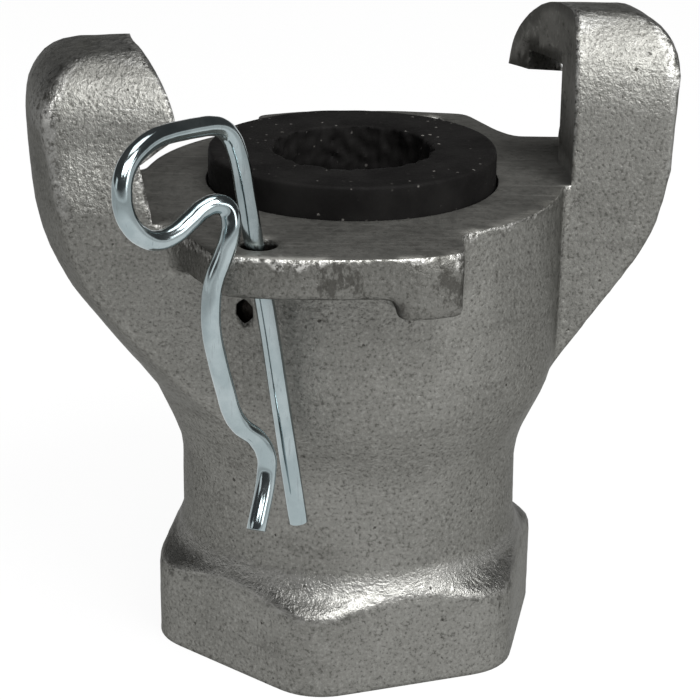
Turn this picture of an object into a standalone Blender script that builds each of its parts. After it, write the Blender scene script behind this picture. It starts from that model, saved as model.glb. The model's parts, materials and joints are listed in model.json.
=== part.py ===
# Claw hose coupling with a female pipe thread: one casting, its rubber gasket and a wire safety clip.
# Stands on the hexagon's end face, +Z along the bore. Right claw at +X, clip flange at -Y.
import bpy
import bmesh
from math import cos, pi, radians, sin, tan
from mathutils import Matrix, Vector

MM = 0.001

# Hexagon
HEX_FLATS = 42.7 * MM           # across flats
HEX_CORNER_RADIUS = 7.0 * MM
HEX_HEIGHT = 10.0 * MM          # height of the corner edges
HEX_TURN = radians(19.6)        # azimuth of one corner

# Neck and head barrel
NECK_RADIUS = 19.95 * MM
NECK_START = 14.0 * MM
NECK_END = 22.0 * MM
HEAD_RADIUS = 24.2 * MM
HEAD_START = 36.0 * MM
FACE_Z = 55.2 * MM              # machined face, where two couplings meet
FACING_RADIUS = 25.3 * MM      # bore of the facing cut between the claws

# Pipe thread, 1-11.5 taper thread, bored to its minor diameter
THREAD_MINOR_RADIUS = 14.85 * MM
THREAD_MAJOR_RADIUS = 16.6 * MM
THREAD_LENGTH = 20.0 * MM
THREAD_TAPER = 1 / 32           # radius lost per unit of length
BORE_RADIUS = 11.5 * MM
BORE_CONE_LENGTH = 8.0 * MM

# Gasket and its seat
GASKET_RADIUS = 16.65 * MM
GASKET_HOLE_RADIUS = 9.25 * MM
GASKET_PROUD = 3.8 * MM         # stands above the face
GASKET_DEPTH = 4.4 * MM         # sits below the face
GASKET_FOOT_LIP = 1.2 * MM      # foot wider than the gasket, held in the undercut
GASKET_FOOT_HEIGHT = 1.8 * MM
GASKET_EDGE = 0.45 * MM         # moulded edge radius
SEAT_CLEARANCE = 0.3 * MM

# Claws
CLAW_RADIUS = 37.65 * MM         # outer face, just under the rounded top
CLAW_DRAFT = 1.3 * MM           # outer face leans in towards its foot
CLAW_TOP = 74.3 * MM            # right claw
CLAW_CROWN = 0.0 * MM           # top falls away towards the outer face
CLAW_OUTER_ROUND = 6.0 * MM
LEFT_CLAW_DROP = 1.6 * MM       # left claw came out of the mould lower and rounder
LEFT_CLAW_CROWN = 1.3 * MM
LEFT_SHOULDER_DROP = 1.3 * MM
LEFT_CLAW_OUTER_ROUND = 6.9 * MM
CLAW_FRONT_Y = -2.0 * MM        # closed end of the right claw
CLAW_BACK_Y = 19.2 * MM         # open end of the right claw
CLAW_LIP_SETBACK = 2.6 * MM     # lip ends this far short of the wall below it
CLAW_FRONT_ROUND = 6.0 * MM
CLAW_BACK_ROUND = 8.8 * MM
WEB_FOOT_Z = 33.1 * MM          # where the web under the claw runs out on the barrel
WEB_SHOULDER_Z = 50.6 * MM      # where the web meets the claw's outer face
WEB_ROUND = 24.0 * MM

# Slot under each claw's lip
SLOT_RADIUS = 31.8 * MM
SLOT_TOP = 67.3 * MM
SLOT_START = radians(15.5)      # closed end
TOOTH_START = radians(34.0)
TOOTH_DROP = 2.2 * MM           # at the lip's inner edge
TOOTH_SLOPE = 0.17              # tooth hangs lower towards the wall
LEFT_SLOT_RADIUS = 28.9 * MM    # left slot was opened out less
LEFT_TOOTH_SLOPE = 0.8
SLOT_END = radians(75.0)

# Flange between the claws
FLANGE_REACH = 6.4 * MM         # front edge stands this far out of the barrel
FLANGE_THICKNESS = 4.8 * MM
FLANGE_CORNER_X = -14.3 * MM
FLANGE_STOP_X = 12.0 * MM
FLANGE_ROOT_X = -20.0 * MM      # where the flange's end meets the left claw
STOP_WIDTH = 7.2 * MM
STOP_DROP = 2.3 * MM            # stop block hangs below the flange
CLIP_HOLE_RADIUS = 2.1 * MM
CLIP_HOLE_X = -9.8 * MM
CLIP_HOLE_OUT = 1.55 * MM       # hole's centre in front of the barrel
CLIP_HOLE_DEPTH = 6.5 * MM
NICK_RADIUS = 1.15 * MM         # mark that the drill left on the barrel beside the hole
NICK_LENGTH = 3.4 * MM
NICK_DROP = 4.2 * MM            # its middle, below the flange
NICK_TURN = radians(241.5)

# Safety clip, bent from one wire. Its points are along the straight leg, out to the side and off plane.
WIRE_RADIUS = 1.05 * MM
CLIP_LEG_BELOW = 32.0 * MM      # leg below the face
CLIP_LEAN_X = radians(8.5)      # leg leans towards the left claw
CLIP_LEAN_Y = radians(1.6)
CLIP_TURN = radians(230.5)      # azimuth of the loop seen from the leg

CAST_VOXEL = 0.62 * MM
CAST_SMOOTHING = 9
CAST_TRIANGLES = 8800
RAW_ALLOWANCE = 1.5 * MM        # stock that the facing cut removes
OVERRUN = 4.0 * MM              # cutters run past the metal

FLANGE_FRONT = HEAD_RADIUS + FLANGE_REACH
CLIP_HOLE_Y = -HEAD_RADIUS - CLIP_HOLE_OUT


for old in list(bpy.data.objects):
    bpy.data.objects.remove(old, do_unlink=True)

parts = bpy.data.collections.new("claw_hose_coupling")
tools = bpy.data.collections.new("cutters")
bpy.context.scene.collection.children.link(parts)
bpy.context.scene.collection.children.link(tools)


def add(name, mesh, collection):
    item = bpy.data.objects.new(name, mesh)
    collection.objects.link(item)
    return item


def evaluated_mesh(item):
    bpy.context.view_layer.update()
    graph = bpy.context.evaluated_depsgraph_get()
    mesh = bpy.data.meshes.new_from_object(item.evaluated_get(graph), depsgraph=graph)
    mesh.transform(item.matrix_world)
    shape = bmesh.new()
    shape.from_mesh(mesh)
    bmesh.ops.remove_doubles(shape, verts=shape.verts, dist=0.002 * MM)
    shape.to_mesh(mesh)
    shape.free()
    return mesh


def apply_all(item):
    """Replace an object by its evaluated mesh, in world space."""
    name = item.name
    home = item.users_collection[0]
    mesh = evaluated_mesh(item)
    bpy.data.objects.remove(item, do_unlink=True)
    mesh.name = name
    return add(name, mesh, home)


def arc_corners(corners, steps=6):
    """Outline through (x, y, radius) corners, each rounded to its radius."""
    points = []
    count = len(corners)
    for i, (x, y, radius) in enumerate(corners):
        here = Vector((x, y))
        if radius <= 0:
            points.append(here)
            continue
        before = (Vector(corners[i - 1][:2]) - here).normalized()
        after = (Vector(corners[(i + 1) % count][:2]) - here).normalized()
        half = before.angle(after) / 2
        reach = radius / tan(half)
        centre = here + (before + after).normalized() * radius / sin(half)
        start = here + before * reach - centre
        sweep = before.cross(after)
        total = pi - 2 * half
        turn = -total if sweep > 0 else total
        for k in range(steps + 1):
            points.append(centre + Matrix.Rotation(turn * k / steps, 2) @ start)
    return points


def plate(name, outline, low, high, collection=tools, turn=None):
    """Flat outline with a thickness; the curve's own Z runs from low to high."""
    curve = bpy.data.curves.new(name, "CURVE")
    curve.dimensions = "2D"
    curve.fill_mode = "BOTH"
    curve.extrude = (high - low) / 2
    spline = curve.splines.new("POLY")
    spline.points.add(len(outline) - 1)
    for point, place in zip(spline.points, outline):
        point.co = (place[0], place[1], 0, 1)
    spline.use_cyclic_u = True
    item = add(name, curve, collection)
    item.location.z = (high + low) / 2
    if turn:
        item.matrix_world = turn @ Matrix.Translation((0, 0, (high + low) / 2))
    return apply_all(item)


def turned(name, profile, collection=tools, steps=96):
    """Solid of revolution; the profile runs from the top of the axis to its foot."""
    mesh = bpy.data.meshes.new(name)
    edges = [(i, i + 1) for i in range(len(profile) - 1)]
    mesh.from_pydata([(r, 0, z) for r, z in profile], edges, [])
    item = add(name, mesh, collection)
    screw = item.modifiers.new("turn", "SCREW")
    screw.steps = steps
    screw.render_steps = steps
    screw.use_merge_vertices = True
    screw.merge_threshold = 0.001 * MM
    return apply_all(item)


def boolean(item, other, operation):
    cut = item.modifiers.new(operation.lower(), "BOOLEAN")
    cut.operation = operation
    cut.solver = "EXACT"
    cut.object = other
    other.hide_render = True
    other.display_type = "WIRE"
    return cut


def opposite(item):
    """Copy of a piece turned half a turn about the bore."""
    mesh = item.data.copy()
    mesh.transform(Matrix.Rotation(pi, 4, "Z"))
    return add(item.name + "_opposite", mesh, tools)


def sector(inner, outer, start, end, steps=24):
    span = [start + (end - start) * k / steps for k in range(steps + 1)]
    rim = [Vector((outer * cos(a), outer * sin(a))) for a in span]
    return rim + [Vector((inner * cos(a), inner * sin(a))) for a in reversed(span)]


def material(name, colour, roughness, metallic):
    made = bpy.data.materials.new(name)
    made.use_nodes = True
    shader = made.node_tree.nodes["Principled BSDF"]
    shader.inputs["Base Color"].default_value = (*colour, 1)
    shader.inputs["Roughness"].default_value = roughness
    shader.inputs["Metallic"].default_value = metallic
    made.diffuse_color = (*colour, 1)
    return made


# Casting blank: hexagon, neck and barrel
FLAT_RADIUS = HEX_FLATS / 2
CORNER_SHARP = FLAT_RADIUS / cos(pi / 6)
SHOULDER = NECK_START - HEX_HEIGHT
flare = []
for k in range(9):
    drop = k / 8
    swell = (1 + cos(pi * drop)) / 2
    flare.append((NECK_RADIUS + (HEAD_RADIUS - NECK_RADIUS) * swell, HEAD_START + (NECK_END - HEAD_START) * drop))
blank = turned("barrel", [
    (0, FACE_Z + RAW_ALLOWANCE),
    (HEAD_RADIUS, FACE_Z + RAW_ALLOWANCE),
    *flare,
    (NECK_RADIUS, NECK_START),
    (FLAT_RADIUS - 0.35 * MM, HEX_HEIGHT + SHOULDER * 0.38),
    (CORNER_SHARP - HEX_CORNER_RADIUS * 0.15, HEX_HEIGHT - SHOULDER * 0.05),
    (CORNER_SHARP, HEX_HEIGHT - SHOULDER * 0.2),
    (CORNER_SHARP, -RAW_ALLOWANCE),
    (0, -RAW_ALLOWANCE),
])
hex_corners = []
for k in range(6):
    azimuth = HEX_TURN + k * pi / 3
    hex_corners.append((CORNER_SHARP * cos(azimuth), CORNER_SHARP * sin(azimuth), HEX_CORNER_RADIUS))
hexagon = plate("hexagon", arc_corners(hex_corners), -RAW_ALLOWANCE - OVERRUN, HEX_HEIGHT + SHOULDER * 0.5)
flats = turned("flats", [
    (0, HEX_HEIGHT + SHOULDER * 0.45),
    (CORNER_SHARP + OVERRUN, HEX_HEIGHT + SHOULDER * 0.45),
    (CORNER_SHARP + OVERRUN, -RAW_ALLOWANCE - OVERRUN / 2),
    (0, -RAW_ALLOWANCE - OVERRUN / 2),
], steps=48)
boolean(flats, hexagon, "DIFFERENCE")
boolean(blank, flats, "DIFFERENCE")

# One claw: a turned rim, kept between its closed and open end and rounded over the top
facing_x = Matrix(((0, 0, 1, 0), (1, 0, 0, 0), (0, 1, 0, 0), (0, 0, 0, 1)))
CLAW_LIP_Y = CLAW_BACK_Y - CLAW_LIP_SETBACK


def claw_on_right(name, top, crown, outer_round, shoulder):
    rim = turned(name, [
        (0, top),
        (HEAD_RADIUS, top),
        *[tuple(p) for p in arc_corners([
            (CLAW_RADIUS, top - crown, outer_round),
            (CLAW_RADIUS - CLAW_DRAFT, shoulder, WEB_ROUND),
            (HEAD_RADIUS, WEB_FOOT_Z, 0),
            (HEAD_RADIUS, top, 0),
        ])[:-1]],
        (NECK_RADIUS, WEB_FOOT_Z - 5.5 * MM),
        (0, WEB_FOOT_Z - 5.5 * MM),
    ], steps=128)
    side_view = arc_corners([
        (CLAW_FRONT_Y, WEB_FOOT_Z - 10 * MM, 0),
        (CLAW_FRONT_Y, top, CLAW_FRONT_ROUND),
        (CLAW_LIP_Y, top, CLAW_BACK_ROUND),
        (CLAW_LIP_Y + 0.3 * MM, top - CLAW_BACK_ROUND - 0.6 * MM, 0),
        (CLAW_BACK_Y, FACE_Z + 0.8 * MM, 2 * MM),
        (CLAW_BACK_Y, WEB_FOOT_Z - 10 * MM, 0),
    ])
    ends = plate(name + "_ends", side_view, HEAD_RADIUS * 0.2, CLAW_RADIUS + OVERRUN, turn=facing_x)
    boolean(rim, ends, "INTERSECT")
    return apply_all(rim)


right_claw = claw_on_right("right_claw", CLAW_TOP, CLAW_CROWN, CLAW_OUTER_ROUND, WEB_SHOULDER_Z)
left_claw = claw_on_right("left_claw", CLAW_TOP - LEFT_CLAW_DROP, LEFT_CLAW_CROWN, LEFT_CLAW_OUTER_ROUND,
                          WEB_SHOULDER_Z - LEFT_SHOULDER_DROP)
left_claw.data.transform(Matrix.Rotation(pi, 4, "Z"))

# One flange with its stop block
FLANGE_LEFT = Vector((FLANGE_CORNER_X, -FLANGE_FRONT + 0.9 * MM))
flange_outline = arc_corners([
    (-HEAD_RADIUS - 0.2 * MM, -CLAW_BACK_Y + 9 * MM, 0),
    (-HEAD_RADIUS - 0.2 * MM, -CLAW_BACK_Y + 0.3 * MM, 0),
    (FLANGE_ROOT_X, -CLAW_BACK_Y + 0.3 * MM, 3 * MM),
    (FLANGE_LEFT.x - 3.4 * MM, FLANGE_LEFT.y + 7.4 * MM, 3 * MM),
    (FLANGE_LEFT.x, FLANGE_LEFT.y, 1.8 * MM),
    (-5.0 * MM, -FLANGE_FRONT - 0.3 * MM, 20 * MM),
    (6.4 * MM, -FLANGE_FRONT + 0.7 * MM, 8 * MM),
    (FLANGE_STOP_X, -FLANGE_FRONT + 3.0 * MM, 1.0 * MM),
    (FLANGE_STOP_X - 0.4 * MM, -HEAD_RADIUS * 0.6, 0),
    (0, 0, 0),
], steps=4)
flange = plate("flange", flange_outline, FACE_Z - FLANGE_THICKNESS, FACE_Z + RAW_ALLOWANCE)
stop_outline = arc_corners([
    (FLANGE_STOP_X - STOP_WIDTH, -FLANGE_FRONT - 0.1 * MM, 1.5 * MM),
    (FLANGE_STOP_X, -FLANGE_FRONT + 2.3 * MM, 1.0 * MM),
    (FLANGE_STOP_X - 0.4 * MM, -HEAD_RADIUS * 0.8, 0),
    (FLANGE_STOP_X - STOP_WIDTH, -HEAD_RADIUS * 0.8, 0),
], steps=4)
stop = plate("stop", stop_outline, FACE_Z - FLANGE_THICKNESS - STOP_DROP, FACE_Z - MM)

for piece in (right_claw, left_claw, flange, opposite(flange), stop, opposite(stop)):
    boolean(blank, piece, "UNION")
blank = apply_all(blank)

# Sand-cast skin: soft fillets inside and worn edges outside
skin = blank.modifiers.new("skin", "REMESH")
skin.mode = "VOXEL"
skin.voxel_size = CAST_VOXEL
soften = blank.modifiers.new("soften", "SMOOTH")
soften.factor = 0.5
soften.iterations = CAST_SMOOTHING
blank = apply_all(blank)
thin = blank.modifiers.new("thin", "DECIMATE")
thin.ratio = min(1.0, CAST_TRIANGLES / sum(len(f.vertices) - 2 for f in blank.data.polygons))
casting = apply_all(blank)

# Machining: the end of the hexagon, the face, the slots and the holes
big = CLAW_RADIUS + 2 * OVERRUN
end_cut = turned("end_cut", [(0, 0), (big, 0), (big, -big), (0, -big)], steps=48)
ceiling = CLAW_TOP + OVERRUN
under = FACE_Z - OVERRUN
facing = turned("facing", [(0, ceiling), (FACING_RADIUS, ceiling), (FACING_RADIUS, under), (0, under)])
table = plate("table", [
    (-HEAD_RADIUS - 8 * MM, -CLAW_BACK_Y - 0.3 * MM),
    (-HEAD_RADIUS - 8 * MM, -big),
    (big * 0.5, -big),
    (big * 0.5, -CLAW_BACK_Y - 0.3 * MM),
], under - 0.1 * MM, FACE_Z + RAW_ALLOWANCE + OVERRUN)
slot_inner = HEAD_RADIUS - 3 * MM
mouth_top = SLOT_TOP - TOOTH_DROP


def slot_on_right(name, radius, slope):
    """The deep closed end of a slot, and its mouth under the tooth."""
    deep = plate(name, sector(slot_inner, radius, SLOT_START, TOOTH_START), under - 0.2 * MM, SLOT_TOP)
    mouth = plate(name + "_mouth", sector(slot_inner - 0.3 * MM, radius, TOOTH_START - 0.01, SLOT_END),
                  under - 0.3 * MM, SLOT_TOP - 0.1 * MM)
    fall = slope * (radius + OVERRUN - HEAD_RADIUS)
    tooth = turned(name + "_tooth", [
        (0, SLOT_TOP + OVERRUN),
        (radius + OVERRUN, SLOT_TOP + OVERRUN),
        (radius + OVERRUN, mouth_top - fall),
        (HEAD_RADIUS, mouth_top),
        (0, mouth_top),
    ])
    boolean(mouth, tooth, "DIFFERENCE")
    return deep, apply_all(mouth)


right_slot = slot_on_right("right_slot", SLOT_RADIUS, TOOTH_SLOPE)
left_slot = slot_on_right("left_slot", LEFT_SLOT_RADIUS, LEFT_TOOTH_SLOPE)
for cutter in left_slot:
    cutter.data.transform(Matrix.Rotation(pi, 4, "Z"))
for cutter in (*right_slot, *left_slot, table, opposite(table)):
    boolean(facing, cutter, "UNION")
level = turned("level", [(0, FACE_Z), (3 * big, FACE_Z), (3 * big, under - OVERRUN), (0, under - OVERRUN)], steps=32)
boolean(facing, level, "DIFFERENCE")
facing = apply_all(facing)

thread_end = THREAD_MINOR_RADIUS - THREAD_LENGTH * THREAD_TAPER
chamfer = THREAD_MAJOR_RADIUS + 0.3 * MM - THREAD_MINOR_RADIUS
seat_floor = FACE_Z - GASKET_DEPTH - SEAT_CLEARANCE
seat_radius = GASKET_RADIUS + SEAT_CLEARANCE
undercut = seat_radius + GASKET_FOOT_LIP
undercut_top = seat_floor + GASKET_FOOT_HEIGHT + 2 * SEAT_CLEARANCE
bore = turned("bore", [
    (0, FACE_Z + OVERRUN),
    (seat_radius, FACE_Z + OVERRUN),
    (seat_radius, undercut_top),
    (undercut, undercut_top),
    (undercut, seat_floor),
    (BORE_RADIUS, seat_floor),
    (BORE_RADIUS, THREAD_LENGTH + BORE_CONE_LENGTH),
    (thread_end, THREAD_LENGTH),
    (THREAD_MINOR_RADIUS - chamfer * THREAD_TAPER, chamfer),
    (THREAD_MINOR_RADIUS + chamfer, 0),
    (THREAD_MINOR_RADIUS + chamfer, -OVERRUN),
    (0, -OVERRUN),
], steps=64)
drill = turned("drill", [
    (0, FACE_Z + OVERRUN),
    (CLIP_HOLE_RADIUS, FACE_Z + OVERRUN),
    (CLIP_HOLE_RADIUS, FACE_Z - CLIP_HOLE_DEPTH),
    (0, FACE_Z - CLIP_HOLE_DEPTH - CLIP_HOLE_RADIUS * 0.5),
], steps=28)
drill.data.transform(Matrix.Translation((CLIP_HOLE_X, CLIP_HOLE_Y, 0)))
nick = turned("nick", [
    (0, FACE_Z - FLANGE_THICKNESS - NICK_DROP + NICK_LENGTH / 2),
    (NICK_RADIUS, FACE_Z - FLANGE_THICKNESS - NICK_DROP + NICK_LENGTH / 2 - NICK_RADIUS),
    (NICK_RADIUS, FACE_Z - FLANGE_THICKNESS - NICK_DROP - NICK_LENGTH / 2 + NICK_RADIUS),
    (0, FACE_Z - FLANGE_THICKNESS - NICK_DROP - NICK_LENGTH / 2),
], steps=16)
nick.data.transform(Matrix.Rotation(NICK_TURN, 4, "Z") @ Matrix.Translation((HEAD_RADIUS - NICK_RADIUS * 0.3, 0, 0)))

for cutter in (end_cut, facing, bore, drill, opposite(drill), nick):
    boolean(casting, cutter, "DIFFERENCE")
casting.name = "coupling_body"
body = apply_all(casting)
parts.objects.link(body)
tools.objects.unlink(body)
body.data.materials.clear()
body.data.materials.append(material("cast_iron_zinc_plated", (0.36, 0.35, 0.33), 0.5, 0.9))

# Gasket: a thick ring with a foot that snaps into the undercut
gasket_top = FACE_Z + GASKET_PROUD
gasket_foot = FACE_Z - GASKET_DEPTH
foot_radius = GASKET_RADIUS + GASKET_FOOT_LIP
section = arc_corners([
    (GASKET_HOLE_RADIUS, gasket_top, GASKET_EDGE),
    (GASKET_RADIUS, gasket_top, GASKET_EDGE),
    (GASKET_RADIUS, gasket_foot + GASKET_FOOT_HEIGHT, 0),
    (foot_radius, gasket_foot + GASKET_FOOT_HEIGHT, 0),
    (foot_radius, gasket_foot, GASKET_EDGE),
    (GASKET_HOLE_RADIUS, gasket_foot, 0),
], steps=3)
gasket = turned("gasket", [tuple(p) for p in section] + [tuple(section[0])], parts, steps=72)
gasket.data.materials.append(material("black_rubber", (0.012, 0.012, 0.013), 0.75, 0.0))

# Safety clip
leg_up = Vector((-tan(CLIP_LEAN_X), tan(CLIP_LEAN_Y), 1)).normalized()
leg_foot = Vector((CLIP_HOLE_X, CLIP_HOLE_Y, FACE_Z - FLANGE_THICKNESS / 2))
leg_foot += leg_up * (FLANGE_THICKNESS / 2 / leg_up.z) - Vector((0.25 * MM, 0, 0))
side = Vector((cos(CLIP_TURN), sin(CLIP_TURN), 0))
side = (side - leg_up * side.dot(leg_up)).normalized()
off = leg_up.cross(side)

# Bends seen from the leg: out to the side, up the leg from the face, off the clip's plane
bends = [
    (0.0, -CLIP_LEG_BELOW / MM, 0.0),
    (0.0, -22.0, 0.0),
    (0.0, -12.0, 0.0),
    (0.0, -2.0, 0.0),
    (0.05, 6.0, 0.0),
    (0.8, 10.8, 0.0),
    (3.1, 13.9, 0.0),
    (8.1, 15.0, 0.0),
    (13.2, 15.0, 0.0),
    (16.1, 12.8, 0.0),
    (17.4, 9.7, 0.0),
    (16.2, 6.2, 0.0),
    (12.8, 4.4, 0.2),
    (9.4, 5.3, 0.7),
    (7.0, 6.4, 1.3),
    (5.4, 6.2, 2.0),
    (4.9, 4.2, 2.5),
    (6.1, 1.9, 2.2),
    (8.1, -2.0, 0.9),
    (8.4, -6.5, 0.1),
    (7.2, -14.2, -0.2),
    (6.3, -17.1, -0.1),
    (4.4, -20.1, 0.5),
    (3.6, -22.8, 0.6),
    (4.2, -25.0, 0.2),
    (6.1, -30.9, -0.4),
]
wire = bpy.data.curves.new("safety_clip", "CURVE")
wire.dimensions = "3D"
wire.bevel_depth = WIRE_RADIUS
wire.bevel_resolution = 3
wire.use_fill_caps = True
wire.resolution_u = 3
path = wire.splines.new("BEZIER")
path.bezier_points.add(len(bends) - 1)
for point, (reach, height, stand) in zip(path.bezier_points, bends):
    point.co = (side * reach + leg_up * height + off * stand) * MM
    point.handle_left_type = "AUTO"
    point.handle_right_type = "AUTO"
clip = add("safety_clip", wire, parts)
clip.location = leg_foot
clip.data.materials.append(material("zinc_plated_wire", (0.62, 0.66, 0.68), 0.22, 1.0))

# Origin: under the middle of the coupling from front to back, on the hexagon's end face
graph = bpy.context.evaluated_depsgraph_get()
depths = []
for item in parts.objects:
    depths += [(item.matrix_world @ corner.co).y for corner in item.evaluated_get(graph).to_mesh().vertices]
for item in parts.objects:
    item.location.y -= (min(depths) + max(depths)) / 2

for item in parts.objects:
    if item.type == "MESH":
        item.data.shade_smooth()
        item.data.set_sharp_from_angle(angle=radians(35))
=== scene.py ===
import json
from math import cos, pi, radians, sin

import bmesh
import bpy
import numpy as np
from mathutils import Matrix, Vector, noise


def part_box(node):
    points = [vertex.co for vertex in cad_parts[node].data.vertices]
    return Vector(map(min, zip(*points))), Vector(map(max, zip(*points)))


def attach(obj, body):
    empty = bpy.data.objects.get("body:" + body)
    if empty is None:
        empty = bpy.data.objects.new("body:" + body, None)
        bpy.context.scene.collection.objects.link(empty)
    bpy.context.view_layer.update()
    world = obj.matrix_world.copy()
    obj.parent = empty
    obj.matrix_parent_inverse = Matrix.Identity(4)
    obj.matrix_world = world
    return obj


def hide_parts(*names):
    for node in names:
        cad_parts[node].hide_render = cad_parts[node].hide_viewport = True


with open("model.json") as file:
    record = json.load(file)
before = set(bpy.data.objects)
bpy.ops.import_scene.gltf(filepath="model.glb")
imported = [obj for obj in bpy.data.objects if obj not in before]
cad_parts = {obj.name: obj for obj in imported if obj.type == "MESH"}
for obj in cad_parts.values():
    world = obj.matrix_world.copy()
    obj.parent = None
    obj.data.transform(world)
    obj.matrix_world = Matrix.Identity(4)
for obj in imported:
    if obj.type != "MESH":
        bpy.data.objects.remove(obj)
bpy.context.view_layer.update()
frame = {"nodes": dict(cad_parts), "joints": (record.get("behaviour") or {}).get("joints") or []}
mm = 0.001

gasketLow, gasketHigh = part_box("gasket")
boreAxis = Vector(((gasketLow.x + gasketHigh.x) / 2, (gasketLow.y + gasketHigh.y) / 2, 0))
clipJoint = frame["joints"][0]


def placeMesh(name, bm, materials):  # a bmesh becomes a piece with its place in its mesh
    mesh = bpy.data.meshes.new(name)
    bm.to_mesh(mesh)
    bm.free()
    piece = bpy.data.objects.new(name, mesh)
    bpy.context.scene.collection.objects.link(piece)
    for made in materials:
        mesh.materials.append(made)
    return piece


def moveToBore(bm):  # drawn in mm about the origin
    bmesh.ops.scale(bm, vec=(mm, mm, mm), verts=bm.verts)
    bmesh.ops.translate(bm, vec=boreAxis, verts=bm.verts)


def bevelRims(bm, width, segments, above=None):  # edges sharper than 60 degrees, above a height if given
    rims = [e for e in bm.edges if len(e.link_faces) == 2 and e.calc_face_angle() > radians(60)
            and (above is None or max(v.co.z for v in e.verts) > above)]
    bmesh.ops.bevel(bm, geom=rims, offset=width, offset_type="OFFSET", segments=segments, profile=0.5,
                    affect="EDGES", clamp_overlap=True, material=-1)


def openEdges(bm):
    return sum(1 for e in bm.edges if len(e.link_faces) != 2)


def ease(share):
    return share * share * (3 - 2 * share)


def addNode(tree, kind, settings=None, inputs=None):
    made = tree.nodes.new(kind)
    for key, value in (settings or {}).items():
        setattr(made, key, value)
    for key, value in (inputs or {}).items():
        if isinstance(value, bpy.types.NodeSocket):
            tree.links.new(value, made.inputs[key])
        else:
            made.inputs[key].default_value = value
    return made


def startMaterial(name, metallic, specular=0.5, tint=1.0):
    made = bpy.data.materials.new(name)
    made.use_nodes = True
    shader = made.node_tree.nodes["Principled BSDF"]
    shader.inputs["Metallic"].default_value = metallic
    shader.inputs["Specular IOR Level"].default_value = specular
    shader.inputs["Specular Tint"].default_value = (tint, tint, tint, 1)
    place = addNode(made.node_tree, "ShaderNodeTexCoord").outputs["Object"]
    return made, made.node_tree, shader, place


def noiseOn(tree, place, scale, detail=3.0, rough=0.6, stretch=None):
    if stretch:
        place = addNode(tree, "ShaderNodeMapping", inputs={"Vector": place, "Scale": stretch}).outputs[0]
    return addNode(tree, "ShaderNodeTexNoise", inputs={
        "Vector": place, "Scale": scale, "Detail": detail, "Roughness": rough}).outputs["Fac"]


def ramp(tree, value, low, high, lowTo=0.0, highTo=1.0):  # stretches low..high to lowTo..highTo
    return addNode(tree, "ShaderNodeMapRange", {"interpolation_type": "SMOOTHSTEP"}, {
        "Value": value, "From Min": low, "From Max": high, "To Min": lowTo, "To Max": highTo}).outputs["Result"]


def combine(tree, operation, first, second):
    return addNode(tree, "ShaderNodeMath", {"operation": operation}, {0: first, 1: second}).outputs[0]


def times(tree, first, second):
    return combine(tree, "MULTIPLY", first, second)


def mixColour(tree, amount, first, second):
    made = addNode(tree, "ShaderNodeMix", {"data_type": "RGBA"}, {0: amount, 6: first, 7: second})
    return made.outputs[2]


def layColours(tree, colour, coats):  # each coat: where it lies, how dense, its colour
    for where, density, paint in coats:
        colour = mixColour(tree, times(tree, where, density), colour, paint)
    return colour


def speckled(tree, place, scale, fray, frayShare):  # distance from scattered points, and each point's number
    cells = addNode(tree, "ShaderNodeTexVoronoi", {"feature": "F1"}, {"Vector": place, "Scale": scale})
    pick = addNode(tree, "ShaderNodeSeparateColor", inputs={0: cells.outputs["Color"]}).outputs[0]
    return combine(tree, "ADD", cells.outputs["Distance"], times(tree, fray, frayShare)), pick


def bumpFrom(tree, height, distance, strength=1.0, under=None):
    inputs = {"Height": height, "Distance": distance * mm, "Strength": strength}
    if under:
        inputs["Normal"] = under
    return addNode(tree, "ShaderNodeBump", inputs=inputs).outputs["Normal"]


# Camera, at the photograph's angle
camera = {"lens": 121.01, "place": (0, -0.2624, 0.1317), "down": 20.44, "roll": 0.73}
lens = bpy.data.cameras.new("camera")
lens.lens = camera["lens"]
lens.sensor_width = 36
lens.clip_start = 0.01
viewer = bpy.data.objects.new("camera", lens)
viewer.matrix_world = (Matrix.Translation(Vector(camera["place"]) + boreAxis)
                       @ Matrix.Rotation(radians(90 - camera["down"]), 4, "X")
                       @ Matrix.Rotation(radians(camera["roll"]), 4, "Z"))
bpy.context.scene.collection.objects.link(viewer)
bpy.context.scene.camera = viewer
print("camera placed")


# Casting: the CAD body with its thread cut and the skin that sand leaves on iron
casting = {
    "weld": 0.003,            # CAD corners closer than this are one
    "faceHeight": 55.2,       # machined face, mm above the hexagon's end
    "facingRadius": 25.3,     # wall that the facing cut left inside the claws
    "slotRadii": (31.8, 28.9),
    "slotTop": 67.3,
    "roofTilt": -0.7,         # hook undersides face down more than this
    "roofDrop": 5,            # and hang this far below the slot's top at most
    "boreReach": 18.3,        # everything inside this radius is machined
    "planeSlack": 0.03,
    "wallSlack": 0.05,
    "longestCastEdge": 0.8,
    "longestCutEdge": 2.2,
    "splitRounds": 7,
    "splitSlack": 1.3,        # edges this much too long are still left
    "swell": (6.0, 0.09),     # size and height of the mould's unevenness
    "lumps": (2.2, 0.035),
    "grit": (1.0, 0.02),
    "noisePlace": (3.1, 7.7),
    "rollOff": (63.0, 11.0, 2.2),  # right claw's front: start, height and depth of its bent-back top
    "rollOffDepths": (2.6, 12.0),  # y where it bends in full, and where not at all
    "rightClawFrom": 15,      # x
    "sharp": 38,              # degrees
}
thread = {
    "pitch": 25.4 / 11.5,
    "majorRadius": 16.45,
    "minorRadius": 14.85,
    "crestFlat": 0.07,        # half its width
    "rootGap": 0.1,
    "overlap": 1.2,           # how far the tap reaches into the bore
    "taper": 1 / 32,
    "depth": 19.2,            # full thread ends here
    "runOut": (0.6, 0.9),     # in turns, and how far the groove gets shallower
    "stepsPerTurn": 40,
}


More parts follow.
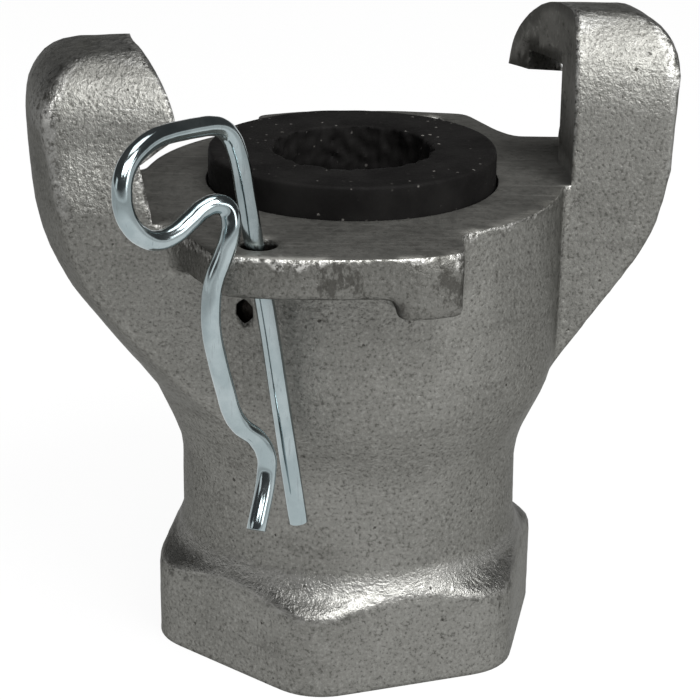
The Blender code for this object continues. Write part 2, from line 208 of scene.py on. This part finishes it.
def makeTap():  # closed worm with the shape of the thread's groove
    rootHalf = thread["pitch"] / 2 - thread["rootGap"]
    crest, root, inner = thread["majorRadius"], thread["minorRadius"], thread["minorRadius"] - thread["overlap"]
    flat = thread["crestFlat"]
    section = [(crest, -flat), (crest, flat), (root, rootHalf), (inner, rootHalf), (inner, -rootHalf),
               (root, -rootHalf)]
    start = -2 * thread["pitch"]
    turns = (thread["depth"] - start) / thread["pitch"]
    steps = round(turns * thread["stepsPerTurn"])
    bm = bmesh.new()
    corners = [bm.verts.new((r, 0, start + z)) for r, z in section]
    face = bm.faces.new(corners)
    bmesh.ops.spin(bm, geom=[face, *face.edges, *corners], cent=(0, 0, 0), axis=(0, 0, 1),
                   angle=turns * 2 * pi, steps=steps, dvec=(0, 0, (thread["depth"] - start) / steps),
                   use_merge=False, use_duplicate=False)
    bmesh.ops.holes_fill(bm, edges=[e for e in bm.edges if e.is_boundary], sides=len(section))
    fadeTurns, fadeDepth = thread["runOut"]
    for corner in bm.verts:
        past = max(0.0, (corner.co.z - thread["depth"] + thread["pitch"] * fadeTurns) / thread["pitch"])
        away = Vector((corner.co.x, corner.co.y, 0))
        corner.co -= away.normalized() * (thread["taper"] * corner.co.z + fadeDepth * past)
    bmesh.ops.recalc_face_normals(bm, faces=bm.faces)
    print("tap has", openEdges(bm), "open edges")
    moveToBore(bm)
    return placeMesh("tap", bm, [])


def cutWith(mesh, tool):
    blank = bpy.data.objects.new("blank", mesh)
    bpy.context.scene.collection.objects.link(blank)
    cut = blank.modifiers.new("cut", "BOOLEAN")
    cut.operation = "DIFFERENCE"
    cut.solver = "EXACT"
    cut.object = tool
    graph = bpy.context.evaluated_depsgraph_get()
    result = bpy.data.meshes.new_from_object(blank.evaluated_get(graph))
    bpy.data.objects.remove(blank)
    bpy.data.objects.remove(tool)
    return result


def isMachined(face):  # true where a cutter left the surface
    corners = [(corner.co - boreAxis) / mm for corner in face.verts]
    heights = [c.z for c in corners]
    reaches = [Vector((c.x, c.y)).length for c in corners]
    top = casting["faceHeight"]

    def level(height):
        return all(abs(z - height) < casting["planeSlack"] for z in heights)

    def onWall(radius):
        return all(abs(r - radius) < casting["wallSlack"] for r in reaches)

    if level(top) or level(0) or all(r < casting["boreReach"] for r in reaches):
        return True
    if min(heights) < top - casting["planeSlack"]:
        return False
    roof = face.normal.z < casting["roofTilt"] and min(heights) > casting["slotTop"] - casting["roofDrop"]
    return roof or level(casting["slotTop"]) or any(map(onWall, (casting["facingRadius"], *casting["slotRadii"])))


def splitLongEdges(bm, machined):
    for _ in range(casting["splitRounds"]):
        tooLong = []
        for edge in bm.edges:
            rough = any(not f[machined] for f in edge.link_faces)
            limit = casting["longestCastEdge"] if rough else casting["longestCutEdge"]
            if edge.calc_length() > limit * mm * casting["splitSlack"]:
                tooLong.append(edge)
        if not tooLong:
            break
        bmesh.ops.subdivide_edges(bm, edges=tooLong, cuts=1)
        bmesh.ops.triangulate(bm, faces=[f for f in bm.faces if len(f.verts) > 3], quad_method="SHORT_EDGE")


def rollOff(bm):  # the right claw's front face bends back towards its top
    start, tall, depth = casting["rollOff"]
    front, back = casting["rollOffDepths"]
    for corner in bm.verts:
        x, y, z = corner.co / mm
        if x < casting["rightClawFrom"] or z < start:
            continue
        rise = min(1.0, (z - start) / tall)
        share = min(1.0, max(0.0, (back - y) / (back - front)))
        corner.co.y += depth * mm * ease(rise) * ease(share)


def roughen(bm, machined):
    bm.normal_update()
    moves = []
    for corner in bm.verts:
        if any(f[machined] for f in corner.link_faces):
            continue
        height = 0.0
        for size, depth in (casting["swell"], casting["lumps"], casting["grit"]):
            height += depth * noise.noise(corner.co / (size * mm) + Vector((size, *casting["noisePlace"])))
        moves.append((corner, corner.normal * height * mm))
    for corner, move in moves:
        corner.co += move


# casting marks: real wearing, grime and tone, and painted light and shade
wearAndPaintedLight = {
    "nearRounds": 7,          # rounds of smoothing that find edges and creases
    "nearDepth": 0.10,
    "wideRounds": 70,         # and broad corners, brightened by rubbing and a painted highlight
    "wideDepth": 0.9,
    "edgeHeights": ((3, 3, 0), (20, 28, 0.45)),  # start, width and least share of a rise
    # edges facing up, and higher ones, get more of the edges' brightening: partly a painted highlight
    "edgeTilt": (-0.40, 0.40, 0.4),
    # claws only: height where rubbing and a painted highlight start
    "roundWearAndHighlightFrom": (53, 6),
    "shoulder": (8.6, 19.0),  # where the hexagon's cut shoulder lies; its upward slope gets a painted highlight
    "shoulderTilt": (0.20, 0.15),
    "shoulderFades": (1.0, 4.0),
    "footShade": ((-3.0, 1.0), (2.2, 1.5)),  # from the shoulder's foot: start and end of the painted shade in the crevice under it
    "footShadeTilt": ((0.04, 0.10), (0.50, 0.15)),
    "flangeShadeAndScuffs": ((45.5, 1.5), (56, 0.8)),  # heights on the flanges' sides, where shade is painted, broken up by scuffs
    "flangeShadeReach": (24.6, 0.8),
    "flangeShadeFrom": 21,           # off the middle plane
    # clip holes, stop dimples and the nick get painted shade
    "clipHole": (-9.8, -25.75, 2.15),
    "holeTop": 55.05,         # just under the face
    "stopDimple": (4.9, -29.8, 49.4),
    "dimpleRadius": 1.5,
    "dimpleShare": 0.6,
    "nick": (-11.38, -20.96, 46.2),
    "nickSize": (1.5, 1.9),
    "nickEdge": (1.1, 0.15),  # of its size: where it ends, over how much
    "nickReach": (24.15, 0.2),
}


def readNumbers(items, key, width, kind=float):
    flat = np.empty(len(items) * width, kind)
    items.foreach_get(key, flat)
    return flat.reshape(-1, width)


def rising(values, start, width, least=0):
    return np.clip((values - start) / width, least, 1)


def falling(values, end, width):
    return np.clip((end - values) / width, 0, 1)


def standOut(place, normal, ends):  # of the smoothed surroundings, in mm, near and wide
    count = len(place)
    share = np.bincount(ends.ravel(), minlength=count)[:, None]
    smooth = place.copy()
    for step in range(wearAndPaintedLight["wideRounds"]):
        total = np.column_stack([
            np.bincount(ends[:, 0], smooth[ends[:, 1], axis], count)
            + np.bincount(ends[:, 1], smooth[ends[:, 0], axis], count) for axis in range(3)])
        smooth = 0.5 * smooth + 0.5 * total / share
        proud = ((place - smooth) * normal).sum(1) / mm
        if step + 1 == wearAndPaintedLight["nearRounds"]:
            near = proud
    return near, proud


def paintedHoleShade(out, height, reach):  # painted shade in the clip holes, the dimples behind the stops and the nick
    holeShade = np.zeros(len(out))
    for turn in (1, -1):
        x, y, radius = wearAndPaintedLight["clipHole"]
        fromHole = np.hypot(out[:, 0] - turn * x, out[:, 1] - turn * y)
        inside = (fromHole < radius) * (height < wearAndPaintedLight["holeTop"])
        x, y, z = wearAndPaintedLight["stopDimple"]
        fromDimple = np.sqrt((out[:, 0] - turn * x) ** 2 + ((out[:, 1] - turn * y) / 2) ** 2 + (height - z) ** 2)
        dimple = wearAndPaintedLight["dimpleShare"] * falling(fromDimple, wearAndPaintedLight["dimpleRadius"], 1)
        holeShade = np.maximum(holeShade, np.maximum(inside, dimple))
    x, y, z = wearAndPaintedLight["nick"]
    wide, tall = wearAndPaintedLight["nickSize"]
    fromNick = np.hypot(np.hypot(out[:, 0] - x, out[:, 1] - y) / wide, (height - z) / tall)
    return np.maximum(holeShade, falling(fromNick, *wearAndPaintedLight["nickEdge"]) * falling(reach, *wearAndPaintedLight["nickReach"]))


# writes the casting's wearing marks and its painted shade and highlights as point attributes
def markWearAndPaintedLight(mesh):
    place = readNumbers(mesh.vertices, "co", 3)
    normal = readNumbers(mesh.vertices, "normal", 3)
    near, wide = standOut(place, normal, readNumbers(mesh.edges, "vertices", 2, int))
    out = (place - np.array(boreAxis)) / mm
    height = place[:, 2] / mm
    reach = np.hypot(out[:, 0], out[:, 1])
    tilt = normal[:, 2]
    low, high = wearAndPaintedLight["shoulder"]
    lowFade, highFade = wearAndPaintedLight["shoulderFades"]
    (footShadeStart, footShadeRise), (footShadeEnd, footShadeFall) = wearAndPaintedLight["footShade"]
    flangeShadeFoot, flangeShadeTop = wearAndPaintedLight["flangeShadeAndScuffs"]
    marks = {
        "edge": np.clip(near / wearAndPaintedLight["nearDepth"], 0, 3) * rising(tilt, *wearAndPaintedLight["edgeTilt"]),
        # concave creases: grime and painted shade
        "crease": np.clip(-near / wearAndPaintedLight["nearDepth"], 0, 3),
        # broad convex rounds of the claws: rubbing and a painted highlight
        "roundWearAndHighlight": np.clip(wide / wearAndPaintedLight["wideDepth"], 0, 1) * rising(height, *wearAndPaintedLight["roundWearAndHighlightFrom"]),
        # upward slope of the hexagon's shoulder: a brushed band, brightened partly as a painted highlight
        "shoulder": (rising(tilt, *wearAndPaintedLight["shoulderTilt"]) * rising(height, low, lowFade)
                     * falling(height, high, highFade)),
        # painted shade in the crevice under the hexagon's shoulder
        "footShade": (rising(tilt, *wearAndPaintedLight["footShadeTilt"][0]) * falling(tilt, *wearAndPaintedLight["footShadeTilt"][1])
                 * rising(height, low + footShadeStart, footShadeRise) * falling(height, low + footShadeEnd, footShadeFall)),
        # flanges' sides darkened: painted shade broken up by scuffs
        "flangeShadeAndScuffs": (rising(reach, *wearAndPaintedLight["flangeShadeReach"]) * rising(height, *flangeShadeFoot) * falling(height, *flangeShadeTop)
                 * (np.abs(out[:, 1]) > wearAndPaintedLight["flangeShadeFrom"])),
        "holeShade": paintedHoleShade(out, height, reach),
    }
    for rise in wearAndPaintedLight["edgeHeights"]:
        marks["edge"] *= rising(height, *rise)
    for name, values in marks.items():
        layer = mesh.attributes.new(name, "FLOAT", "POINT")
        layer.data.foreach_set("value", values.astype(np.float32))


ironColours = {
    "cloudDark": (0.186, 0.185, 0.171, 1),
    "cloudLight": (0.226, 0.225, 0.209, 1),
    "layer": (0.105, 0.103, 0.095, 1),
    "grainLight": (0.31, 0.309, 0.29, 1),
    "grainDark": (0.080, 0.078, 0.071, 1),
    # claw rounds brightened by rubbing and a painted highlight
    "rubbedAndHighlight": (0.42, 0.42, 0.405, 1),
    # brushed shoulder band, partly a painted highlight
    "groundAndHighlight": (0.36, 0.357, 0.342, 1),
    # flanges' sides: painted shade with scuffs
    "flangeShadeAndScuffs": (0.062, 0.060, 0.054, 1),
    # painted shade under the hexagon's shoulder
    "footShadeSpots": (0.035, 0.034, 0.031, 1),
    "smudge": (0.060, 0.058, 0.052, 1),
    # edges brightened by wearing and a painted highlight
    "worn": (0.60, 0.595, 0.57, 1),
    # grime in creases together with painted shade
    "creaseDirtAndShade": (0.040, 0.037, 0.032, 1),
    "fleck": (0.030, 0.028, 0.024, 1),
    # near-black painted shade inside holes, dimples and the nick
    "holeShade": (0.016, 0.013, 0.011, 1),
    "cutDark": (0.150, 0.148, 0.137, 1),
    "cutLight": (0.215, 0.212, 0.197, 1),
    "cutLine": (0.34, 0.335, 0.315, 1),
    "smut": (0.070, 0.068, 0.061, 1),
}


def castIron():
    made, tree, shader, place = startMaterial("castIron", 1.0, tint=0.40)
    edge, crease, roundWearAndHighlight, shoulder, footShade, flangeShadeAndScuffs, holeShade = (
        addNode(tree, "ShaderNodeAttribute", {"attribute_name": name}).outputs["Fac"]
        for name in ("edge", "crease", "roundWearAndHighlight", "shoulder", "footShade", "flangeShadeAndScuffs", "holeShade"))
    cloud = noiseOn(tree, place, 85, 4, 0.55)
    layers = noiseOn(tree, place, 420, 3, 0.6, (0.22, 0.22, 1.7))
    mottle = noiseOn(tree, place, 800, 4, 0.65)
    grain = noiseOn(tree, place, 2600, 3, 0.65)
    chips = noiseOn(tree, place, 1500, 5, 0.75)
    brushed = noiseOn(tree, place, 900, 4, 0.7, (0.45, 0.45, 2.0))
    patches = noiseOn(tree, place, 420, 3)
    # claw rounds brightened by rubbing and a painted highlight
    rubbedAndHighlight = times(tree, ramp(tree, roundWearAndHighlight, 0.25, 0.75), ramp(tree, chips, 0.36, 0.56))
    # brushed shoulder band, partly a painted highlight
    groundAndHighlight = times(tree, shoulder, ramp(tree, brushed, 0.28, 0.54))
    scuff = ramp(tree, noiseOn(tree, place, 300, 5, 0.75, (1.0, 1.0, 0.6)), 0.46, 0.38, 0.30, 0.85)
    footShadeSpots = ramp(tree, noiseOn(tree, place, 700, 4, 0.7), 0.50, 0.40)
    # edges brightened by wearing and a painted highlight
    worn = times(tree, ramp(tree, edge, 1.3, 2.5), ramp(tree, chips, 0.42, 0.58))
    fromPoint, pick = speckled(tree, place, 620.0, grain, 0.22)
    fleck = times(tree, ramp(tree, fromPoint, 0.25, 0.17), ramp(tree, pick, 0.80, 0.88))
    paint = ironColours
    colour = mixColour(tree, ramp(tree, cloud, 0.3, 0.7), paint["cloudDark"], paint["cloudLight"])
    colour = layColours(tree, colour, (
        (ramp(tree, layers, 0.46, 0.30), 0.30, paint["layer"]),
        (ramp(tree, grain, 0.50, 0.70), 0.60, paint["grainLight"]),
        (ramp(tree, grain, 0.48, 0.31), 0.80, paint["grainDark"]),
        (rubbedAndHighlight, 0.55, paint["rubbedAndHighlight"]),
        # brushed shoulder band, partly a painted highlight
        (groundAndHighlight, 0.5, paint["groundAndHighlight"]),
        # painted shade on the flanges' sides, patchy where scuffed
        (times(tree, flangeShadeAndScuffs, scuff), 1.0, paint["flangeShadeAndScuffs"]),
        # painted shade in the crevice under the shoulder, in spots
        (times(tree, footShade, footShadeSpots), 0.85, paint["footShadeSpots"]),
        (times(tree, ramp(tree, edge, 0.25, 0.7), ramp(tree, chips, 0.50, 0.40)), 0.5, paint["smudge"]),
        # edges brightened by wearing and a painted highlight
        (worn, 0.85, paint["worn"]),
        # creases darkened by grime and painted shade
        (times(tree, ramp(tree, crease, 0.5, 1.8), ramp(tree, patches, 0.34, 0.62)), 0.7, paint["creaseDirtAndShade"]),
        (fleck, 0.75, paint["fleck"]),
        # painted shade in the clip holes, stop dimples and nick
        (holeShade, 0.93, paint["holeShade"]),
    ))
    tree.links.new(colour, shader.inputs["Base Color"])
    dull = ramp(tree, mottle, 0.3, 0.7, 0.52, 0.40)
    bright = combine(tree, "MAXIMUM", combine(tree, "MAXIMUM", worn, groundAndHighlight), rubbedAndHighlight)
    rough = combine(tree, "SUBTRACT", dull, times(tree, bright, 0.08))
    tree.links.new(rough, shader.inputs["Roughness"])
    rounded = addNode(tree, "ShaderNodeBevel", {"samples": 4}, {"Radius": 0.28 * mm}).outputs[0]
    relief = bumpFrom(tree, noiseOn(tree, place, 380, 3, 0.6), 0.12, 0.5, rounded)
    relief = bumpFrom(tree, combine(tree, "SUBTRACT", mottle, times(tree, fleck, 0.6)), 0.14, 0.8, relief)
    relief = bumpFrom(tree, grain, 0.11, 1.0, relief)
    relief = bumpFrom(tree, times(tree, brushed, shoulder), 0.08, 0.8, relief)
    tree.links.new(relief, shader.inputs["Normal"])
    return made


def machinedIron():
    made, tree, shader, place = startMaterial("machinedIron", 1.0, tint=0.45)
    cloud = noiseOn(tree, place, 150, 4, 0.6)
    lines = noiseOn(tree, place, 1500, 3, 0.6, (0.08, 1.6, 1.0))
    smut = noiseOn(tree, place, 900, 4, 0.7)
    paint = ironColours
    colour = mixColour(tree, ramp(tree, cloud, 0.3, 0.7), paint["cutDark"], paint["cutLight"])
    colour = layColours(tree, colour, (
        (ramp(tree, lines, 0.52, 0.74), 0.45, paint["cutLine"]),
        (ramp(tree, smut, 0.44, 0.3), 0.7, paint["smut"]),
    ))
    tree.links.new(colour, shader.inputs["Base Color"])
    tree.links.new(ramp(tree, smut, 0.3, 0.7, 0.62, 0.50), shader.inputs["Roughness"])
    rounded = addNode(tree, "ShaderNodeBevel", {"samples": 4}, {"Radius": 0.22 * mm}).outputs[0]
    relief = bumpFrom(tree, lines, 0.04, 0.6, rounded)
    relief = bumpFrom(tree, smut, 0.05, 0.5, relief)
    tree.links.new(relief, shader.inputs["Normal"])
    return made


body = bmesh.new()
body.from_mesh(frame["nodes"]["coupling_body"].data)
bmesh.ops.remove_doubles(body, verts=body.verts, dist=casting["weld"] * mm)
blankMesh = bpy.data.meshes.new("blank")
body.to_mesh(blankMesh)
body.free()
body = bmesh.new()
body.from_mesh(cutWith(blankMesh, makeTap()))
bmesh.ops.triangulate(body, faces=body.faces)
machined = body.faces.layers.int.new("machined")
for face in body.faces:
    face[machined] = int(isMachined(face))
splitLongEdges(body, machined)
rollOff(body)
roughen(body, machined)
for face in body.faces:
    face.material_index = face[machined]
    face.smooth = True
print("casting has", len(body.faces), "triangles,", openEdges(body), "open edges")
castingPiece = placeMesh("casting", body, [castIron(), machinedIron()])
castingPiece.data.set_sharp_from_angle(angle=radians(casting["sharp"]))
markWearAndPaintedLight(castingPiece.data)
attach(castingPiece, "coupling")
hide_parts("coupling_body")
print("casting made")


# Gasket: moulded black rubber, dusty, its hole torn a little by the moulding flash
gasket = {
    "hole": 9.25,
    "outer": 16.65,
    "foot": 17.85,            # lip held in the casting's undercut
    "heights": (59.0, 52.6, 50.8),  # top, step and bottom
    "edge": 0.4,
    "steps": 220,
    "longestEdge": 0.8,
    "swell": (3.0, 0.05),     # size and height of its unevenness
    "tears": ((1.3, 0.42), (0.55, 0.252)),
    "tearBand": 0.9,          # from the hole outwards
    "sharp": 50,              # degrees
}


def blackRubber():
    made, tree, shader, place = startMaterial("blackRubber", 0.0, 0.06)
    cloud = noiseOn(tree, place, 180, 4, 0.6)
    fine = noiseOn(tree, place, 1700, 3, 0.6)
    fromPoint, pick = speckled(tree, place, 1100.0, fine, 0.5)
    dust = times(tree, ramp(tree, fromPoint, 0.48, 0.30), ramp(tree, pick, 0.72, 1.0))
    black, grey, dusty = (0.0040, 0.0037, 0.0036, 1), (0.0080, 0.0076, 0.0073, 1), (0.17, 0.162, 0.15, 1)
    colour = mixColour(tree, ramp(tree, cloud, 0.3, 0.7), black, grey)
    colour = layColours(tree, colour, ((dust, 0.7, dusty),))
    tree.links.new(colour, shader.inputs["Base Color"])
    tree.links.new(ramp(tree, fine, 0.3, 0.7, 0.60, 0.76), shader.inputs["Roughness"])
    relief = bumpFrom(tree, cloud, 0.10, 0.4)
    relief = bumpFrom(tree, fine, 0.02, 0.6, relief)
    tree.links.new(relief, shader.inputs["Normal"])
    return made


def makeGasket():
    hole, outer, foot = gasket["hole"], gasket["outer"], gasket["foot"]
    top, step, bottom = gasket["heights"]
    section = [(hole, bottom), (foot, bottom), (foot, step), (outer, step), (outer, top), (hole, top)]
    bm = bmesh.new()
    corners = [bm.verts.new((r, 0, z)) for r, z in section]
    edges = [bm.edges.new(pair) for pair in zip(corners, corners[1:] + corners[:1])]
    bmesh.ops.spin(bm, geom=corners + edges, cent=(0, 0, 0), axis=(0, 0, 1), angle=2 * pi,
                   steps=gasket["steps"], dvec=(0, 0, 0), use_merge=True, use_duplicate=False)
    bmesh.ops.remove_doubles(bm, verts=bm.verts, dist=0.001)
    bevelRims(bm, gasket["edge"], 3, above=step + 1)
    for _ in range(4):
        tall = [e for e in bm.edges if e.calc_length() > gasket["longestEdge"]]
        bmesh.ops.subdivide_edges(bm, edges=tall, cuts=1, use_grid_fill=True)
    bmesh.ops.recalc_face_normals(bm, faces=bm.faces)
    bm.normal_update()
    swellSize, swellDepth = gasket["swell"]
    moves = []
    for corner in bm.verts:
        reach = Vector((corner.co.x, corner.co.y)).length
        torn = min(1.0, max(0.0, (hole + gasket["tearBand"] - reach) / gasket["tearBand"]))
        height = swellDepth * noise.noise(corner.co / swellSize)
        for size, depth in gasket["tears"]:
            height += torn * depth * noise.noise(corner.co / size)
        if corner.co.z > step:
            moves.append((corner, corner.normal * height))
    for corner, move in moves:
        corner.co += move
        corner.co.z = min(corner.co.z, top)
    for face in bm.faces:
        face.smooth = True
    print("gasket has", len(bm.faces), "faces,", openEdges(bm), "open edges")
    moveToBore(bm)
    return placeMesh("gasketRing", bm, [blackRubber()])


gasketPiece = makeGasket()
gasketPiece.data.set_sharp_from_angle(angle=radians(gasket["sharp"]))
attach(gasketPiece, "coupling")
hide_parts("gasket")
print("gasket finished")


# Safety clip: one bent wire, its route given along the leg, out to the side and off plane
clip = {
    "wireRadius": 1.05,
    "wireSides": 8,           # rings of its round section
    "stepsPerPoint": 8,
    "loopTurn": 230.5,
    "route": (
        (-0.05, -32.0, 0.3), (-0.1, -23.0, 0.3), (-0.15, -16.5, 0.3), (-0.15, -8.2, 0.3), (-0.08, -0.8, 0.15),
        (-0.08, 2.2, 0.1), (-0.08, 5.5, 0.0), (-0.05, 8.6, 0.0), (0.19, 10.35, 0.0), (0.75, 11.95, 0.0),
        (1.84, 13.2, 0.0), (3.3, 13.85, 0.0), (5.26, 14.22, 0.0), (7.3, 14.5, 0.0), (9.9, 14.77, 0.0),
        (11.95, 14.75, 0.0), (13.8, 14.3, 0.0), (15.4, 13.55, 0.0), (16.63, 12.3, 0.0), (17.25, 10.69, 0.0),
        (17.38, 9.08, 0.0), (16.85, 7.35, 0.0), (15.64, 5.83, 0.0), (13.75, 4.75, 0.1), (11.7, 4.72, 0.4),
        (9.3, 5.55, 0.8), (7.5, 6.3, 1.15), (6.0, 6.4, 1.7), (5.1, 5.6, 2.2), (5.15, 4.29, 2.5),
        (5.68, 2.71, 2.4), (6.37, 0.93, 1.8), (7.5, -1.67, 0.9), (8.1, -4.2, 0.5), (8.2, -6.8, 0.15),
        (7.9, -10.4, 0.0), (7.3, -14.0, -0.15), (6.9, -16.3, -0.2), (6.1, -18.2, -0.1), (4.3, -20.5, 0.4),
        (3.6, -22.6, 0.6), (3.85, -24.5, 0.5), (7.2, -29.85, 0.9),
    ),
    "endChamfer": 0.28,
    "sharp": 45,              # degrees
}


def zincWire():
    made, tree, shader, place = startMaterial("zincWire", 1.0)
    cloud = noiseOn(tree, place, 240, 4, 0.6)
    fine = noiseOn(tree, place, 2600, 3, 0.6, (1.0, 1.0, 0.15))
    dim, pale, streak = (0.31, 0.372, 0.386, 1), (0.40, 0.462, 0.476, 1), (0.20, 0.22, 0.23, 1)
    colour = mixColour(tree, ramp(tree, cloud, 0.35, 0.7), dim, pale)
    colour = layColours(tree, colour, ((ramp(tree, fine, 0.42, 0.28), 0.35, streak),))
    tree.links.new(colour, shader.inputs["Base Color"])
    tree.links.new(ramp(tree, cloud, 0.3, 0.7, 0.09, 0.16), shader.inputs["Roughness"])
    tree.links.new(bumpFrom(tree, fine, 0.012, 0.3), shader.inputs["Normal"])
    return made


def makeClip():
    legUp = Vector(clipJoint["axis"]).normalized()
    legFoot = Vector(clipJoint["pos_m"])
    turn = radians(clip["loopTurn"])
    across = Vector((cos(turn), sin(turn), 0))
    across = (across - legUp * across.dot(legUp)).normalized()
    offPlane = legUp.cross(across)
    wire = bpy.data.curves.new("clipWire", "CURVE")
    wire.dimensions = "3D"
    wire.bevel_depth = clip["wireRadius"] * mm
    wire.bevel_resolution = clip["wireSides"]
    wire.use_fill_caps = True
    wire.resolution_u = clip["stepsPerPoint"]
    path = wire.splines.new("BEZIER")
    path.bezier_points.add(len(clip["route"]) - 1)
    for point, (reach, height, stand) in zip(path.bezier_points, clip["route"]):
        point.co = legFoot + (across * reach + legUp * height + offPlane * stand) * mm
        point.handle_left_type = point.handle_right_type = "AUTO"
    bent = bpy.data.objects.new("bent", wire)
    bpy.context.scene.collection.objects.link(bent)
    graph = bpy.context.evaluated_depsgraph_get()
    wireMesh = bpy.data.meshes.new_from_object(bent.evaluated_get(graph))
    bpy.data.objects.remove(bent)
    bm = bmesh.new()
    bm.from_mesh(wireMesh)
    bmesh.ops.remove_doubles(bm, verts=bm.verts, dist=0.002 * mm)
    bevelRims(bm, clip["endChamfer"] * mm, 2)
    bmesh.ops.recalc_face_normals(bm, faces=bm.faces)
    for face in bm.faces:
        face.smooth = True
    print("clip has", len(bm.faces), "faces,", openEdges(bm), "open edges")
    return placeMesh("clipWire", bm, [zincWire()])


clipPiece = makeClip()
clipPiece.data.set_sharp_from_angle(angle=radians(clip["sharp"]))
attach(clipPiece, "clip")
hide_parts("safety_clip")
print("clip made")


# Floor, world and lamps
studio = {
    "floorRadius": 4.0,
    "floorColour": (0.86, 0.86, 0.855, 1),
    "whiteShare": 0.92,       # of the floor as the camera sees it, the rest shows the shadow
    "pool": ((0.06, -0.05, 0), 0.10, 0.25, 0.66),  # floor's light in mirrors: centre, where it falls, its end
    "ambient": 0.50,
    "horizon": 0.16,          # upward part of a direction where the zenith's tone begins
    "zenith": 0.07,           # what metal sees above the horizon
    "aim": (0, 0, 0.04),
    "lamps": (                # place, power, width
        ((0.26, -0.34, 0.46), 4.0, 0.30),
        ((-0.02, -0.38, 0.48), 1.4, 0.24),
        ((0.03, 0.0, 0.62), 1.0, 0.30),
        ((-0.49, -0.30, 0.22), 0.15, 0.20),
        ((0.50, -0.30, 0.20), 0.5, 0.20),
    ),
}


def seenDirectly(tree):  # camera, mirror and glass rays
    rays = addNode(tree, "ShaderNodeLightPath")
    seen = combine(tree, "MAXIMUM", rays.outputs["Is Camera Ray"], rays.outputs["Is Glossy Ray"])
    return combine(tree, "MAXIMUM", seen, rays.outputs["Is Transmission Ray"]), rays


bm = bmesh.new()
bmesh.ops.create_circle(bm, cap_ends=True, segments=96, radius=studio["floorRadius"])
floorPaint = bpy.data.materials.new("floorPaint")
floorPaint.use_nodes = True
tree = floorPaint.node_tree
paint = tree.nodes["Principled BSDF"]
paint.inputs["Base Color"].default_value = studio["floorColour"]
paint.inputs["Roughness"].default_value = 0.9
seen, rays = seenDirectly(tree)
poolCentre, poolFull, poolEdge, poolEnd = studio["pool"]
spot = addNode(tree, "ShaderNodeTexCoord").outputs["Object"]
away = addNode(tree, "ShaderNodeVectorMath", {"operation": "DISTANCE"}, {0: spot, 1: poolCentre}).outputs["Value"]
fading = ramp(tree, away, poolFull, poolEdge, 0.0, 1.0 - poolEnd)
strength = combine(tree, "SUBTRACT", 1.0, times(tree, fading, rays.outputs["Is Glossy Ray"]))
glow = addNode(tree, "ShaderNodeEmission", inputs={"Color": (1, 1, 1, 1), "Strength": strength})
blend = addNode(tree, "ShaderNodeMixShader", inputs={
    0: times(tree, seen, studio["whiteShare"]), 1: paint.outputs[0], 2: glow.outputs[0]})
tree.links.new(blend.outputs[0], tree.nodes["Material Output"].inputs["Surface"])
floor = placeMesh("floor", bm, [floorPaint])

world = bpy.data.worlds.new("studio")
bpy.context.scene.world = world
world.use_nodes = True
tree = world.node_tree
sky = tree.nodes["Background"]
sky.inputs["Color"].default_value = (1, 1, 1, 1)
seen, rays = seenDirectly(tree)
direction = addNode(tree, "ShaderNodeTexCoord").outputs["Generated"]
upward = addNode(tree, "ShaderNodeSeparateXYZ", inputs={0: direction}).outputs["Z"]
overhead = ramp(tree, upward, 0.0, studio["horizon"], 1.0, studio["zenith"])
plain = combine(tree, "MAXIMUM", rays.outputs["Is Camera Ray"], rays.outputs["Is Transmission Ray"])
mirrored = times(tree, rays.outputs["Is Glossy Ray"], overhead)
ambient = times(tree, combine(tree, "SUBTRACT", 1.0, seen), studio["ambient"])
strength = combine(tree, "ADD", combine(tree, "MAXIMUM", plain, mirrored), ambient)
tree.links.new(strength, sky.inputs["Strength"])

for number, (place, power, width) in enumerate(studio["lamps"]):
    lamp = bpy.data.lights.new("lamp%d" % number, "AREA")
    lamp.energy = power
    lamp.size = width
    stand = bpy.data.objects.new(lamp.name, lamp)
    facing = (Vector(place) - Vector(studio["aim"])).to_track_quat("Z", "Y").to_matrix().to_4x4()
    stand.matrix_world = Matrix.Translation(Vector(place) + boreAxis) @ facing
    bpy.context.scene.collection.objects.link(stand)
bpy.context.scene.view_settings.view_transform = "Standard"
print("studio lit")
